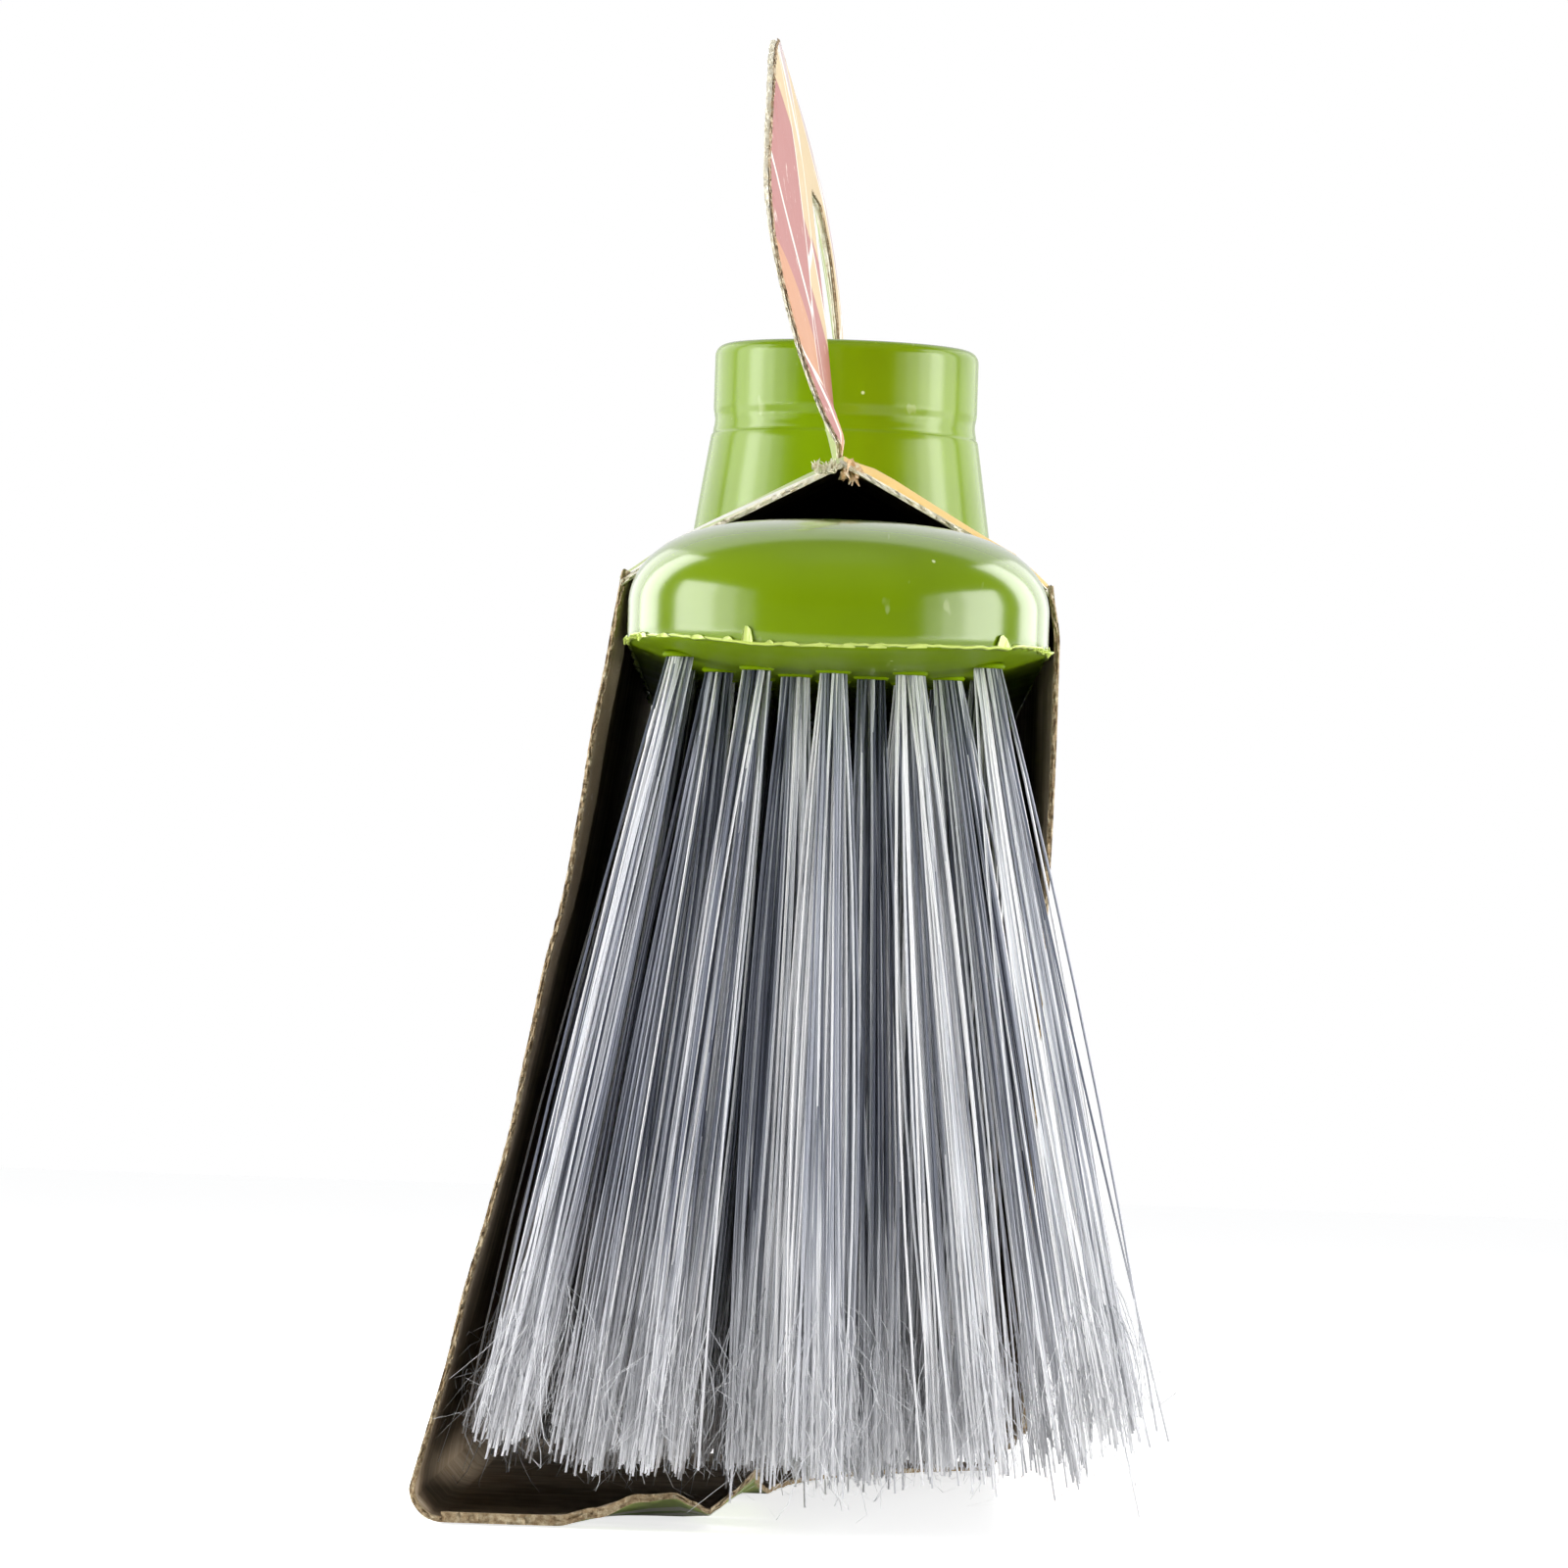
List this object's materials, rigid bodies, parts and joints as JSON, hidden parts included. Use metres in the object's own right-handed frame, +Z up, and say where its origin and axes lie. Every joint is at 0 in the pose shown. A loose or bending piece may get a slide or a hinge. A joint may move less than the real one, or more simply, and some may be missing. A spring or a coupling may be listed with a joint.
{
  "type": "brush head in card sleeve",
  "caption": "Broom-style brush head with a threaded pole socket and splayed stapled tufts, held in a folded card sleeve with an arched fold-over header.",
  "frame": {"origin": "on the outer face of the sleeve's base, straight below the axis of the pole socket", "axes": "+Z up along the pole socket, +Y along the brush, +X towards the sleeve's upright wall"},
  "size_m": [0.0795, 0.2908, 0.171],
  "materials": {
    "green_plastic": "gloss",
    "bristle": "satin",
    "staple": "satin",
    "lime_card": "satin",
    "yellow_card": "satin",
    "peach_card": "satin",
    "header_card": "satin"
  },
  "bodies": {
    "brush": {"brush_block": "green_plastic", "tuft_row_1": "bristle", "tuft_row_2": "bristle", "tuft_row_3": "bristle", "tuft_row_4": "bristle", "tuft_row_5": "bristle", "tuft_row_6": "bristle", "tuft_row_7": "bristle", "tuft_row_8": "bristle", "tuft_row_9": "bristle", "anchor_row_1": "staple", "anchor_row_2": "staple", "anchor_row_3": "staple", "anchor_row_4": "staple", "anchor_row_5": "staple", "anchor_row_6": "staple", "anchor_row_7": "staple", "anchor_row_8": "staple", "anchor_row_9": "staple", "left_shoulder_panel": "lime_card", "right_shoulder_panel": "yellow_card", "left_wall_panel": "lime_card", "right_wall_panel": "peach_card", "base_panel": "lime_card"},
    "header": {"header_left_ply": "header_card", "header_right_ply": "header_card"}
  },
  "joints": [
    {"name": "header_fold", "type": "hinge", "parent": "brush", "child": "header", "pos_m": [0, 0, 0.11705], "axis": [0, 1, 0], "range_deg": [-85, 105]}
  ]
}
